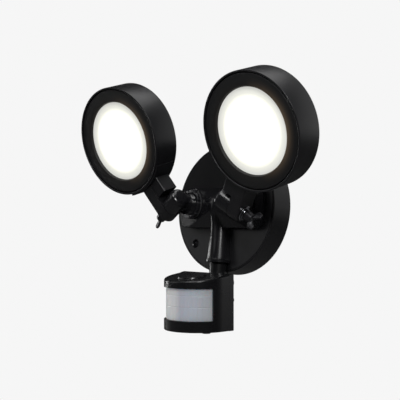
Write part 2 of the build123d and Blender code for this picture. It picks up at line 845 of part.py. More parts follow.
# Board, then the flange and the can of the detector, each from the face of the last
board_steps = ((1.6, None), (0.6, 4.6), (3.6, 4.1))
with BuildPart() as sensor_board:
    face_y = board_back_y
    for thick, radius in board_steps:
        with BuildSketch(Plane.XZ.offset(-face_y)):
            with Locations((0, board_z)):
                if radius:
                    Circle(radius)
                else:
                    Rectangle(board_w, board_h)
        extrude(amount=thick)
        face_y -= thick
    with BuildSketch(Plane.XZ.offset(-face_y)):
        with Locations((0, board_z)):
            Rectangle(4, 3)
    extrude(amount=-0.4, mode=Mode.SUBTRACT)
save(sensor_board.part, "sensor_board", sensor_plane)

with BuildPart() as sensor_cover:
    with BuildSketch(Plane.XY.offset(sensor_base_z)):
        with Locations((0, (shell_back_y + sensor_back_y) / 2)):
            Rectangle(sensor_w, sensor_back_y - shell_back_y)
    extrude(amount=sensor_top_back_z - sensor_base_z + 4)
    split(bisect_by=top_plane, keep=Keep.BOTTOM)
    fillet(
        sensor_cover.faces().sort_by(Axis.Y)[-1].edges(),
        2.2,
    )
    # Ears of the hinge, each side of the neck's knuckle
    for end in (-1, 1):
        with BuildSketch(Plane.YZ.offset(end * ear_x)):
            Circle(knuckle_r + 0.3)
            with Locations((shell_back_y / 2, 0)):
                Rectangle(-shell_back_y, 2 * knuckle_r + 0.6)
        extrude(amount=end * sensor_ear_w)
    with BuildSketch(Plane.YZ):
        Circle(knuckle_r + 0.5)
    extrude(amount=ear_x, both=True, mode=Mode.SUBTRACT)
    with BuildSketch(Plane.XY):
        Circle(neck_notch_r)
    extrude(amount=20, mode=Mode.SUBTRACT)
    with BuildSketch(Plane.YZ):
        Circle(hinge_bolt_r + running_gap)
    extrude(amount=sensor_w, both=True, mode=Mode.SUBTRACT)
save(sensor_cover.part, "sensor_cover", sensor_plane)

bolt_start = ear_x + sensor_ear_w
bolt_end = 4.5              # of the bolt beyond the ear, through its nut
bolt_head_r = 3.7
bolt_head_t = 2.3
hinge_nut_r = 4.05
hinge_nut_t = 3.2
with BuildPart() as hinge_bolt:
    with BuildSketch(Plane.YZ.offset(-bolt_start - bolt_end)):
        Circle(hinge_bolt_r)
    extrude(amount=2 * bolt_start + bolt_end)
    with BuildSketch(Plane.YZ.offset(bolt_start)):
        Circle(bolt_head_r)
    extrude(amount=bolt_head_t)
    chamfer(hinge_bolt.faces().sort_by(Axis.X)[-1].edges(), 0.8)
save(hinge_bolt.part, "hinge_bolt", sensor_plane)

with BuildPart() as hinge_nut:
    with BuildSketch(Plane.YZ.offset(-bolt_start)):
        RegularPolygon(hinge_nut_r, 6)
        Circle(hinge_bolt_r + running_gap, mode=Mode.SUBTRACT)
    extrude(amount=-hinge_nut_t)
save(hinge_nut.part, "hinge_nut", sensor_plane)

for name, (x, z) in zip(SIDES, cover_screw_points):
    with BuildPart() as cover_screw:
        with BuildSketch(Plane.XZ.offset(-sensor_back_y)):
            with Locations((x, z)):
                Circle(2.8)
        extrude(amount=-2.4)
        chamfer(cover_screw.faces().sort_by(Axis.Y)[-1].edges(), 0.7)
    save(cover_screw.part, f"cover_screw_{name}", sensor_plane)

for name, (x, y) in zip(("time", "sense"), dial_points):
    with BuildPart() as dial:
        with BuildSketch(Plane.XY.offset(sensor_base_z - dial_proud)):
            with Locations((x, y)):
                Circle(dial_r)
        extrude(amount=dial_proud + dial_depth - dial_gap)
        chamfer(dial.faces().sort_by(Axis.Z)[0].edges(), 0.4)
        with BuildSketch(Plane.XY.offset(sensor_base_z - dial_proud)):
            with Locations((x, y)):
                Rectangle(1.4 * dial_r, slot_w)
        extrude(amount=slot_w, mode=Mode.SUBTRACT)
    save(dial.part, f"dial_{name}", sensor_plane)
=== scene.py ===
import json
import math

import bmesh
import bpy
import numpy as np
from mathutils import Matrix


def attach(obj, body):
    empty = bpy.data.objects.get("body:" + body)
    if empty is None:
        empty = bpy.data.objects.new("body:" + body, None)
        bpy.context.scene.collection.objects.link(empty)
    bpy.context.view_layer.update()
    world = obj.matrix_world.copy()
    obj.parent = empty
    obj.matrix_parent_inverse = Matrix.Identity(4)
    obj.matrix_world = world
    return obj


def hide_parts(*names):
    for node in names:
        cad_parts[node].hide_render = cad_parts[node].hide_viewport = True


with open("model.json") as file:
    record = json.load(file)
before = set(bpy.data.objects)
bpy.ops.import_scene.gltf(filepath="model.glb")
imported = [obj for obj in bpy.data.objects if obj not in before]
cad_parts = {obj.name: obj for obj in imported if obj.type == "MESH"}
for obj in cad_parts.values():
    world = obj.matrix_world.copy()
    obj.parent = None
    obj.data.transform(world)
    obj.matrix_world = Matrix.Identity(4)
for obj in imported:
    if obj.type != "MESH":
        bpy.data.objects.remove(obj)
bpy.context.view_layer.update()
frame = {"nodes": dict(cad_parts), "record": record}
print("frame loaded:", len(frame["nodes"]), "nodes")

# Sizes are in millimetres and angles in degrees; meshes are made in metres
mm = 0.001
sides = {"left": -1, "right": 1}

# Where the pieces hang, the same places as in the CAD
layout = {
    "eyeCentre": (33.0, -52.64, 2.39),  # where the right nipple's axis meets the lap joint's axis
    "headPitch": 20,
    "armDepth": 13,  # of the joint behind the head's front
    "armLean": 33,
    "pivotReach": 79.2,
    "eyeShift": -7.35,  # from the joint's middle to the nipple's axis, outwards
    "stemY": -24,
    "hingeZ": -68.5,
    "sensorTilt": 5.5,
}


def placeFrom(origin, xAxis, zAxis):
    # four by four matrix whose columns are the x, y and z axes and the origin
    xAxis, zAxis = np.array(xAxis, float), np.array(zAxis, float)
    place = np.eye(4)
    place[:3, 0] = xAxis / np.linalg.norm(xAxis)
    place[:3, 2] = zAxis / np.linalg.norm(zAxis)
    place[:3, 1] = np.cross(place[:3, 2], place[:3, 0])
    place[:3, 3] = origin
    return place


def pointIn(place, point):
    # a point given in the place's own axes, in the light's frame
    return place[:3, :3] @ np.array(point, float) + place[:3, 3]


def headPlace(side):
    # x runs down the arm, z looks out of the head's front
    lean, pitch = math.radians(layout["armLean"]), math.radians(layout["headPitch"])
    x, y, z = layout["eyeCentre"]
    down = (
        -side * math.sin(lean),
        math.cos(lean) * math.sin(pitch),
        -math.cos(lean) * math.cos(pitch),
    )
    place = placeFrom((side * x, y, z), down, (0, -math.cos(pitch), -math.sin(pitch)))
    toFront = (-layout["pivotReach"], -side * layout["eyeShift"], layout["armDepth"])
    place[:3, 3] = pointIn(place, toFront)
    return place


def jointPlace(side):
    # origin in the middle of the lap joint, z outwards along its screw, x down the arm
    head = headPlace(side)
    origin = pointIn(head, (layout["pivotReach"], 0, -layout["armDepth"]))
    return placeFrom(origin, head[:3, 0], side * head[:3, 1])


def eyePlace(side):
    # the joint's axes with their origin on the nipple's axis
    place = jointPlace(side)
    place[:3, 3] = pointIn(place, (0, 0, layout["eyeShift"]))
    return place


def nipplePlace(side):
    # origin where the nipple's axis meets the joint's, z towards the arm base
    eyeAxes = eyePlace(side)
    lean, pitch = math.radians(layout["armLean"]), math.radians(layout["headPitch"])
    turn = math.atan(math.tan(lean) * math.sin(pitch))
    return placeFrom(eyeAxes[:3, 3], eyeAxes[:3, 2], (-side * math.sin(turn), math.cos(turn), 0))


def sensorPlace():
    tilt = math.radians(layout["sensorTilt"])
    hinge = (0, layout["stemY"], layout["hingeZ"])
    return placeFrom(hinge, (1, 0, 0), (0, -math.sin(tilt), math.cos(tilt)))


def anglesRound(count):
    # evenly spaced angles once round, in radians
    return np.arange(count) * 2 * math.pi / count


def ringsAt(radius, height, angle):
    # a point for each radius, height and angle: x = r cos a, y = r sin a, z = h
    return np.stack([radius * np.cos(angle), radius * np.sin(angle), height + 0 * angle], axis=-1)


def gridShell(grid, closeRows=False, capped=False):
    # quads between neighbouring rows and columns of a grid of points whose rows run in circles
    rows, columns = grid.shape[:2]
    index = np.arange(rows * columns).reshape(rows, columns)
    index = np.concatenate([index, index[:, :1]], axis=1)
    if closeRows:
        index = np.concatenate([index, index[:1]], axis=0)
    corners = (index[:-1, :-1], index[1:, :-1], index[1:, 1:], index[:-1, 1:])
    faces = np.stack(corners, axis=-1).reshape(-1, 4).tolist()
    if capped:
        faces += [index[0, :columns].tolist(), index[-1, :columns].tolist()]
    return grid.reshape(-1, 3), faces


def roundedLine(points, radii, steps=5, closed=True):
    # every corner becomes the circular arc that touches both of its sides
    # the arc is a rational quadratic with the corner in the middle, weighted by the sine of half its angle
    points = np.array(points, float)
    radii = np.broadcast_to(np.array(radii, float), len(points))
    before, after = np.roll(points, 1, 0) - points, np.roll(points, -1, 0) - points
    lengthBefore = np.linalg.norm(before, axis=1, keepdims=True)
    lengthAfter = np.linalg.norm(after, axis=1, keepdims=True)
    before, after = before / lengthBefore, after / lengthAfter
    half = np.arccos(np.clip((before * after).sum(1), -1, 1)) / 2
    longest = 0.49 * np.minimum(lengthBefore[:, 0], lengthAfter[:, 0])
    reach = np.minimum(radii / np.tan(half), longest)[:, None]
    start, end = points + before * reach, points + after * reach
    t = np.linspace(0, 1, steps + 1)[None, :, None]
    middle = 2 * np.sin(half)[:, None, None] * t * (1 - t)
    top = (1 - t) ** 2 * start[:, None] + middle * points[:, None] + t**2 * end[:, None]
    arcs = top / ((1 - t) ** 2 + middle + t**2)
    if closed:
        return arcs.reshape(-1, 2)
    return np.concatenate([points[:1], arcs[1:-1].reshape(-1, 2), points[-1:]])


def turnedShell(profile, around=144):
    # each (radius, height) point goes round the z axis
    # a profile with both ends on the axis closes there, any other closes on itself
    radius, height = np.array(profile, float).T
    grid = ringsAt(radius[:, None], height[:, None], anglesRound(around))
    return gridShell(grid, closeRows=not (radius[0] == 0 and radius[-1] == 0))


def insetLine(line, depth):
    # a closed line moved inwards along the mean of its sides' normals
    ahead, behind = np.roll(line, -1, 0) - line, line - np.roll(line, 1, 0)
    ahead = ahead / np.linalg.norm(ahead, axis=1, keepdims=True)
    behind = behind / np.linalg.norm(behind, axis=1, keepdims=True)
    mean = ahead + behind
    mean = mean / np.linalg.norm(mean, axis=1, keepdims=True)
    stretch = 1 / np.clip((mean * ahead).sum(1, keepdims=True), 0.5, 1)
    return line - np.stack([mean[:, 1], -mean[:, 0]], axis=1) * stretch * depth


def slabShell(line, low, high, lowEdge, highEdge, steps=3):
    # a closed anticlockwise line stacked from low to high, with quarter rounds at both rims
    turn = np.linspace(0, math.pi / 2, steps + 1)
    lowInsets, highInsets = lowEdge * (1 - np.sin(turn)), highEdge * (1 - np.sin(turn[::-1]))
    lows = low + lowEdge * (1 - np.cos(turn))
    highs = high - highEdge * (1 - np.cos(turn[::-1]))
    levels = zip(np.concatenate([lowInsets, highInsets]), np.concatenate([lows, highs]))
    rings = [
        np.column_stack([insetLine(line, inset), np.full(len(line), height)])
        for inset, height in levels
    ]
    return gridShell(np.stack(rings), capped=True)


def ringShell(outer, inner, low, high, edge, around=192, steps=3):
    # a ring whose outer radius may change with the angle, with quarter rounds at its outer rims
    angle = anglesRound(around)
    turn = np.linspace(0, math.pi / 2, steps + 1)[:, None]
    upper = outer - edge * (1 - np.sin(turn)) + 0 * angle
    lower = outer - edge * (1 - np.sin(turn[::-1])) + 0 * angle
    radii = np.concatenate([inner + np.zeros((2, around)), upper, lower])
    highs, lows = high - edge * (1 - np.cos(turn)), low + edge * (1 - np.cos(turn[::-1]))
    heights = np.concatenate([[[low], [high]], highs, lows])
    return gridShell(ringsAt(radii, heights, angle), closeRows=True)


# A thread's flanks: how much steeper than a plain zigzag, and how much of its crest is flat
threadForm = {"rowsPerTurn": 10, "steepness": 1.25, "flatCrest": 0.12}


def threadShell(radius, pitch, depth, low, high, around):
    # the radius falls and rises with the height less the pitch times the turn, and fades out at both ends
    f = threadForm
    height = np.linspace(low, high, int((high - low) / pitch * f["rowsPerTurn"]) + 2)[:, None]
    angle = anglesRound(around)[None, :]
    phase = (height / pitch - angle / (2 * math.pi)) % 1
    fade = np.clip(np.minimum(height - low, high - height) / pitch, 0, 1)
    cut = np.clip(np.abs(2 * phase - 1) * f["steepness"] - f["flatCrest"], 0, 1)
    return gridShell(ringsAt(radius - depth * fade * cut, height, angle), capped=True)


def joined(shells):
    # several shells as one list of points and one of faces
    points, faces, count = [], [], 0
    for shellPoints, shellFaces in shells:
        points.append(shellPoints)
        faces += [[corner + count for corner in face] for face in shellFaces]
        count += len(shellPoints)
    return np.concatenate(points), faces


def settle(piece, body, material, smoothAngle):
    piece.data.materials.clear()
    piece.data.materials.append(material)
    piece.data.shade_smooth()
    piece.data.set_sharp_from_angle(angle=math.radians(smoothAngle))
    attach(piece, body)


# How the meshes are finished: merging distances in metres, angles in degrees
finish = {"mergeWithin": 1e-6, "nodeMergeWithin": 2e-6, "flatWithin": 0.6, "smoothAngle": 30, "easeAbove": 38}


def outwardMesh(name, points, faces):
    # points in metres and faces as one mesh, its doubles merged and its faces turned outwards
    mesh = bpy.data.meshes.new(name)
    mesh.from_pydata(points, [], faces)
    bm = bmesh.new()
    bm.from_mesh(mesh)
    bmesh.ops.remove_doubles(bm, verts=bm.verts, dist=finish["mergeWithin"])
    bmesh.ops.recalc_face_normals(bm, faces=bm.faces)
    bm.to_mesh(mesh)
    bm.free()
    return mesh


def shellPiece(name, shells, place, body, material, replaced, smoothAngle=35):
    # closed shells in a place's own millimetres, joined into one piece
    points, faces = joined(shells)
    mesh = outwardMesh(name, (points @ place[:3, :3].T + place[:3, 3]) * mm, faces)
    piece = bpy.data.objects.new(name, mesh)
    bpy.context.scene.collection.objects.link(piece)
    settle(piece, body, material, smoothAngle)
    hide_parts(replaced)
    return piece


def finishedNode(node, material, edge=0.0, segments=2, extra=None):
    # a copy of a CAD node, its loose triangles merged to whole faces and its edges eased
    # extra is a closed shell in the light's frame that becomes part of the same piece
    mesh = frame["nodes"][node].data.copy()
    bm = bmesh.new()
    bm.from_mesh(mesh)
    bmesh.ops.remove_doubles(bm, verts=bm.verts, dist=finish["nodeMergeWithin"])
    flat = math.radians(finish["flatWithin"])
    bmesh.ops.dissolve_limit(bm, angle_limit=flat, verts=bm.verts, edges=bm.edges)
    if extra:
        points, faces = extra
        shell = outwardMesh(node + "_extra", points * mm, faces)
        bm.from_mesh(shell)
        bpy.data.meshes.remove(shell)
    bm.to_mesh(mesh)
    bm.free()
    piece = bpy.data.objects.new(node + "_finish", mesh)
    bpy.context.scene.collection.objects.link(piece)
    record = frame["record"]
    body = next(name for name, nodes in record["behaviour"]["bodies"].items() if node in nodes)
    settle(piece, body, material, finish["smoothAngle"])
    if edge:
        bevel = piece.modifiers.new("easedEdges", "BEVEL")
        bevel.width = edge * mm
        bevel.segments = segments
        bevel.limit_method = "ANGLE"
        bevel.angle_limit = math.radians(finish["easeAbove"])
        bevel.use_clamp_overlap = True
    weights = piece.modifiers.new("flatFaces", "WEIGHTED_NORMAL")
    weights.keep_sharp = True
    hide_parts(node)


def localPoints(piece, place):
    # the piece's points in a place's own axes, in millimetres
    points = np.empty(len(piece.data.vertices) * 3)
    piece.data.vertices.foreach_get("co", points)
    return (points.reshape(-1, 3) / mm - place[:3, 3]) @ place[:3, :3]


def writeUv(piece, name, u, v):
    # each corner of a face takes the u and v of its point
    corners = np.empty(len(piece.data.loops), int)
    piece.data.loops.foreach_get("vertex_index", corners)
    layer = piece.data.uv_layers.new(name=name)
    layer.data.foreach_set("uv", np.column_stack([u, v])[corners].ravel())


def linearColour(hexText):
    # sRGB hex to the linear values that the shaders take
    channels = np.array([int(hexText[i:i + 2], 16) for i in (1, 3, 5)]) / 255
    linear = np.where(channels <= 0.04045, channels / 12.92, ((channels + 0.055) / 1.055) ** 2.4)
    return (*linear.tolist(), 1.0)


def addNode(tree, kind, settings=None, links=None):
    # a node with its settings, by input name or number or else by attribute, and its links
    # the stops of a colour ramp are given as pairs of a place and a hex colour
    node = tree.nodes.new(kind)
    for key, value in (settings or {}).items():
        if key == "stops":
            elements = node.color_ramp.elements
            for at, hexText in value[2:]:
                elements.new(at)
            for element, (at, hexText) in zip(elements, value):
                element.position, element.color = at, linearColour(hexText)
        elif isinstance(key, int) or key in node.inputs:
            node.inputs[key].default_value = value
        else:
            setattr(node, key, value)
    for key, socket in (links or {}).items():
        tree.links.new(socket, node.inputs[key])
    return node


def principledOf(material):
    return next(node for node in material.node_tree.nodes if node.type == "BSDF_PRINCIPLED")


def newMaterial(name):
    material = bpy.data.materials.new(name)
    material.use_nodes = True
    return material, material.node_tree, principledOf(material)


def grainedMaterial(name, look):
    # colour and roughness that drift over broad patches, and a fine grain that stands a few microns high
    # patch and grain are sizes in millimetres, and so is the grain's height
    material, tree, shader = newMaterial(name)
    shader.inputs["Metallic"].default_value = look.get("metallic", 0)
    shader.inputs["Specular IOR Level"].default_value = look.get("specular", 0.5)
    if "subsurface" in look:
        shader.inputs["Subsurface Weight"].default_value = look["subsurface"]
        shader.inputs["Subsurface Scale"].default_value = look["subsurfaceDepth"] * mm
    where = addNode(tree, "ShaderNodeTexCoord").outputs["Object"]
    patches = addNode(
        tree, "ShaderNodeTexNoise", {"Scale": 1 / (look["patch"] * mm), "Detail": 3.0}, {"Vector": where}
    ).outputs["Fac"]
    grain = addNode(
        tree, "ShaderNodeTexNoise", {"Scale": 1 / (look["grain"] * mm), "Detail": 2.0}, {"Vector": where}
    ).outputs["Fac"]
    colour = addNode(
        tree, "ShaderNodeMix",
        {"data_type": "RGBA", 6: linearColour(look["colour"]), 7: linearColour(look["drift"])},
        {0: patches},
    )
    low, high = look["roughness"]
    roughness = addNode(
        tree, "ShaderNodeMapRange",
        {"From Min": 0.3, "From Max": 0.7, "To Min": low, "To Max": high},  # noise seldom leaves 0.3 to 0.7
        {"Value": patches},
    )
    bump = addNode(
        tree, "ShaderNodeBump", {"Strength": look["strength"], "Distance": look["height"] * mm},
        {"Height": grain},
    )
    tree.links.new(colour.outputs[2], shader.inputs["Base Color"])
    tree.links.new(roughness.outputs["Result"], shader.inputs["Roughness"])
    tree.links.new(bump.outputs["Normal"], shader.inputs["Normal"])
    return material


# Black polyester powder coat on die-cast aluminium: satin, with a faint orange peel
powderCoat = grainedMaterial("powderCoatedAluminium", {
    "colour": "#0c0c0e", "drift": "#111113", "roughness": (0.34, 0.42), "patch": 40,
    "grain": 1.6, "height": 0.03, "strength": 0.25, "specular": 0.35,
})
# The same coat over the smoother castings of the arm base and the arms: sharper highlights
smoothCoat = grainedMaterial("smoothCoatedCasting", {
    "colour": "#0b0b0d", "drift": "#101012", "roughness": (0.2, 0.27), "patch": 30,
    "grain": 1.4, "height": 0.015, "strength": 0.2, "specular": 0.45,
})
# The same coat on the bezel, matter, so that it stays black beside the lit diffuser
bezelCoat = grainedMaterial("matteCoatedBezel", {
    "colour": "#0a0a0b", "drift": "#0e0e0f", "roughness": (0.5, 0.58), "patch": 30,
    "grain": 1.4, "height": 0.03, "strength": 0.3, "specular": 0.3,
})
# Moulded ABS of the sensor: smoother than the coat, with sharper highlights
mouldedAbs = grainedMaterial("mouldedAbs", {
    "colour": "#0b0b0c", "drift": "#0f0f11", "roughness": (0.24, 0.32), "patch": 30,
    "grain": 1.2, "height": 0.015, "strength": 0.25, "specular": 0.32,
})
# Black passivated zinc of the lock nuts and wing screws: a dark metal with a hard glint
blackZinc = grainedMaterial("blackPassivatedZinc", {
    "colour": "#1a1a1c", "drift": "#242427", "roughness": (0.26, 0.36), "patch": 12,
    "grain": 0.8, "height": 0.02, "strength": 0.3, "metallic": 0.6,
})
# Bright zinc-plated steel: pale, slightly blue, brushed by tumbling
zincSteel = grainedMaterial("zincPlatedSteel", {
    "colour": "#b9bcc0", "drift": "#a6aaaf", "roughness": (0.22, 0.34), "patch": 9,
    "grain": 0.7, "height": 0.02, "strength": 0.3, "metallic": 1,
})
# Washers of the wing screws: zinc darkened by age, nearly a mirror where it was pressed
agedZinc = grainedMaterial("agedZincWasher", {
    "colour": "#9c9da1", "drift": "#7d7e82", "roughness": (0.14, 0.22), "patch": 6,
    "grain": 0.6, "height": 0.01, "strength": 0.2, "metallic": 1,
})
# EPDM rubber: dull and very dark
epdmRubber = grainedMaterial("epdmRubber", {
    "colour": "#18181a", "drift": "#1f1f21", "roughness": (0.7, 0.8), "patch": 14,
    "grain": 0.7, "height": 0.03, "strength": 0.5, "specular": 0.4,
})
# White PBT of the driver's case and polycarbonate of the reflector: clean, with a soft sheen
whitePbt = grainedMaterial("whitePbt", {
    "colour": "#d9d9d5", "drift": "#cfcfca", "roughness": (0.42, 0.5), "patch": 25,
    "grain": 1.0, "height": 0.02, "strength": 0.3,
})
whiteReflector = grainedMaterial("whitePolycarbonate", {
    "colour": "#ececea", "drift": "#e4e4e1", "roughness": (0.3, 0.38), "patch": 25,
    "grain": 1.0, "height": 0.01, "strength": 0.2,
})
# Natural nylon of the terminal block: creamy and a little waxy
naturalNylon = grainedMaterial("naturalNylon", {
    "colour": "#e0dccd", "drift": "#d5d0bf", "roughness": (0.45, 0.55), "patch": 10,
    "grain": 0.8, "height": 0.02, "strength": 0.3, "subsurface": 0.1, "subsurfaceDepth": 2,
})
# Glass-epoxy boards under solder mask, white for the LEDs and green for the sensor: flat and glossy
whiteBoard = grainedMaterial("whiteSolderMask", {
    "colour": "#e6e6e0", "drift": "#dcdcd5", "roughness": (0.3, 0.4), "patch": 12,
    "grain": 0.6, "height": 0.01, "strength": 0.3,
})
greenBoard = grainedMaterial("greenSolderMask", {
    "colour": "#1c6b37", "drift": "#17592e", "roughness": (0.3, 0.4), "patch": 12,
    "grain": 0.6, "height": 0.01, "strength": 0.3,
})

opal = {
    "colour": "#8f8f8c", "roughness": 0.45,
    # its own light at shares of the disc's radius
    "light": ((0.0, "#ffffff"), (0.59, "#fffff0"), (0.685, "#c9c9bf"), (0.78, "#b2b2ad")),
}
paintedSpill = {
    # painted reflection: the diffuser's light on the bezel, drawn as the bezel's own emission, at shares of
    # the disc's radius
    "light": ((0.78, "#8c7a66"), (0.83, "#5c4c3a"), (0.92, "#2a2219"), (0.99, "#000000")),
    # the painted glow grows from the middle to the right
    "from": 0.55, "to": 1.0, "least": 0.02, "most": 0.6,
}
milky = {
    "roughness": 0.42, "subsurface": 0.25, "subsurfaceDepth": 1.5,
    "halfLength": 35,
    # along the band, with painted shading: pale at the left end as if lit from there, bluish in the middle,
    # greyer at the right end as if in shade
    "shadedColours": (
        (0.3, "#b1b2b2"), (0.5, "#acadaf"), (0.58, "#94969f"), (0.74, "#9499a1"), (0.97, "#909396"),
    ),
    # the rings' real pitch is 0.4 mm: drawn at 1.6 mm so that they show
    "ringPitch": 1.6, "ringDepth": 0.1, "ringStrength": 0.25,
}


def opalDiffuser(o):
    # Opal polycarbonate over the lit LEDs: white where it is brightest, a shade warmer and dimmer at the rim
    material, tree, shader = newMaterial("opalPolycarbonate")
    shader.inputs["Base Color"].default_value = linearColour(o["colour"])
    shader.inputs["Roughness"].default_value = o["roughness"]
    shader.inputs["Emission Strength"].default_value = 1.0
    uv = addNode(tree, "ShaderNodeUVMap", {"uv_map": "polar"})
    split = addNode(tree, "ShaderNodeSeparateXYZ", None, {"Vector": uv.outputs["UV"]})
    light = addNode(tree, "ShaderNodeValToRGB", {"stops": o["light"]}, {"Fac": split.outputs["X"]})
    tree.links.new(light.outputs["Color"], shader.inputs["Emission Color"])
    return material


def paintSpillGlow(material, s):
    # painted reflection: the bezel itself emits the diffuser's light, spilt warm over the lip and a little
    # way past it
    tree, shader = material.node_tree, principledOf(material)
    uv = addNode(tree, "ShaderNodeUVMap", {"uv_map": "polar"})
    split = addNode(tree, "ShaderNodeSeparateXYZ", None, {"Vector": uv.outputs["UV"]})
    light = addNode(tree, "ShaderNodeValToRGB", {"stops": s["light"]}, {"Fac": split.outputs["X"]})
    share = addNode(
        tree, "ShaderNodeMapRange",
        {"From Min": s["from"], "From Max": s["to"], "To Min": s["least"], "To Max": s["most"]},
        {"Value": split.outputs["Y"]},
    )
    tree.links.new(light.outputs["Color"], shader.inputs["Emission Color"])
    tree.links.new(share.outputs["Result"], shader.inputs["Emission Strength"])


def milkyLens(m):
    # High-density polyethylene of the Fresnel lens: milky and soft, with fine rings moulded inside
    material, tree, shader = newMaterial("milkyPolyethylene")
    shader.inputs["Roughness"].default_value = m["roughness"]
    shader.inputs["Subsurface Weight"].default_value = m["subsurface"]
    shader.inputs["Subsurface Scale"].default_value = m["subsurfaceDepth"] * mm
    uv = addNode(tree, "ShaderNodeUVMap", {"uv_map": "unrolled"})
    split = addNode(tree, "ShaderNodeSeparateXYZ", None, {"Vector": uv.outputs["UV"]})
    end = m["halfLength"] * mm
    along = addNode(
        tree, "ShaderNodeMapRange", {"From Min": -end, "From Max": end}, {"Value": split.outputs["X"]}
    )
    # the base colour carries painted shading: lighter towards the band's left end, darker towards its right
    colour = addNode(tree, "ShaderNodeValToRGB", {"stops": m["shadedColours"]}, {"Fac": along.outputs["Result"]})
    tree.links.new(colour.outputs["Color"], shader.inputs["Base Color"])
    # a wave texture at scale 1 has 20 rings to the unit
    scale = 1 / (m["ringPitch"] * mm) / 20
    rings = addNode(
        tree, "ShaderNodeTexWave",
        {"wave_type": "RINGS", "rings_direction": "SPHERICAL", "Scale": scale, "Distortion": 0.0},
        {"Vector": uv.outputs["UV"]},
    )
    bump = addNode(
        tree, "ShaderNodeBump", {"Strength": m["ringStrength"], "Distance": m["ringDepth"] * mm},
        {"Height": rings.outputs["Fac"]},
    )
    tree.links.new(bump.outputs["Normal"], shader.inputs["Normal"])
    return material


opalLit = opalDiffuser(opal)
# the bezel's coat gets a painted reflection of the diffuser's light, as emission
paintSpillGlow(bezelCoat, paintedSpill)
milkyPolyethylene = milkyLens(milky)
print("materials made")


# Heights are along the head's axis, from its front at 0 towards its back
housing = {
    "radius": 51.5, "depth": 28, "rimWidth": 1.8,
    "wellRadius": 43.5, "wellFloor": -22, "wellTop": -7, "discSeat": 46.7, "bezelSeat": -3,
    # at the profile's corners, from the well's floor over the rim to the middle of the rib field
    "rounds": (0, 0.5, 0.3, 0.3, 0.3, 0.3, 0.6, 0.5, 2.5, 0.8, 0.6, 0),
    "ribFieldRadius": 43.5, "ribDepth": 3.5, "ribPitch": 8.5, "ribCount": 9, "ribWidth": 1.8,
    "ribCorner": 0.3, "ribEdge": 0.5,
    "ribSunk": (0.5, 0.2),  # into the field's wall and floor
}
bezel = {
    "outer": 48.9, "lipOuter": 38.0, "lipInner": 37.1, "face": -0.6, "back": -3.0, "lipEdge": 0.3,
    "rounds": (0.8, 0.1, 0.2, 0.3, 0.35),
}
diffuser = {"radius": 46.5, "front": -3.0, "back": -5.4, "dome": 0.5, "shown": 36.9}


def housingShells(h, side):
    r, back = h["radius"], -h["depth"]
    inner, field, floor = r - h["rimWidth"], h["ribFieldRadius"], back + h["ribDepth"]
    profile = [
        (0, h["wellFloor"]), (h["wellRadius"], h["wellFloor"]), (h["wellRadius"], h["wellTop"]),
        (h["discSeat"], h["wellTop"]), (h["discSeat"], h["bezelSeat"]), (inner, h["bezelSeat"]),
        (inner, 0), (r, 0), (r, back), (field, back), (field, floor), (0, floor),
    ]
    shells = [turnedShell(roundedLine(profile, h["rounds"], closed=False))]
    # Ribs stand upright in the round recess, each as long as its chord
    turn = math.radians(side * layout["armLean"])
    ahead = np.array([math.cos(turn), math.sin(turn)])
    across = np.array([-ahead[1], ahead[0]])
    intoWall, intoFloor = h["ribSunk"]
    w = h["ribWidth"] / 2
    for row in range(h["ribCount"]):
        offset = (row - (h["ribCount"] - 1) / 2) * h["ribPitch"]
        half = math.sqrt((field + intoWall) ** 2 - offset**2)
        corners = [(-half, -w), (half, -w), (half, w), (-half, w)]
        box = roundedLine(corners, h["ribCorner"], steps=2)
        line = box[:, :1] * ahead + (box[:, 1:] + offset) * across
        shells.append(slabShell(line, back, floor + intoFloor, h["ribEdge"], 0))
    return shells


def bezelShells(b):
    profile = [
        (b["outer"], b["face"]), (b["outer"], b["back"]), (b["lipInner"], b["back"]),
        (b["lipInner"], b["back"] + b["lipEdge"]), (b["lipOuter"], b["face"]),
    ]
    return [turnedShell(roundedLine(profile, b["rounds"]))]


def diffuserShells(d):
    # the shown part is a shallow dome: its height falls with the square of the radius
    share = np.linspace(0, 1, 24)
    dome = np.column_stack([d["shown"] * share, d["front"] + d["dome"] * (1 - share**2)])
    edge = [(d["radius"], d["front"]), (d["radius"], d["back"]), (0, d["back"])]
    return [turnedShell(np.concatenate([dome, edge]))]


def polarUv(piece, place, radius):
    # u is the distance from the disc's axis as a share of its radius
    # v is (1 + the cosine of the angle from the right) / 2, so 0 at the left and 1 at the right
    local = localPoints(piece, place)[:, :2]
    fromAxis = np.hypot(local[:, 0], local[:, 1])
    rightward = local @ place[0, :2]
    v = 0.5 + 0.5 * rightward / np.maximum(fromAxis * np.linalg.norm(place[0, :2]), 1e-6)
    writeUv(piece, "polar", fromAxis / radius, v)


for name, side in sides.items():
    place, body = headPlace(side), f"head_{name}"
    shellPiece(
        f"headHousing_{name}", housingShells(housing, side), place,
        body, powderCoat, f"head_housing_{name}",
    )
    ring = shellPiece(
        f"bezelRing_{name}", bezelShells(bezel), place, body, bezelCoat, f"bezel_{name}"
    )
    disc = shellPiece(
        f"opalDisc_{name}", diffuserShells(diffuser), place,
        body, opalLit, f"diffuser_{name}",
    )
    for piece in (ring, disc):
        polarUv(piece, place, diffuser["radius"])
    finishedNode(f"head_gasket_{name}", epdmRubber)
    finishedNode(f"reflector_{name}", whiteReflector)
    finishedNode(f"led_board_{name}", whiteBoard)
    finishedNode(f"head_bracket_{name}", powderCoat, edge=0.5, segments=3)
print("heads made")

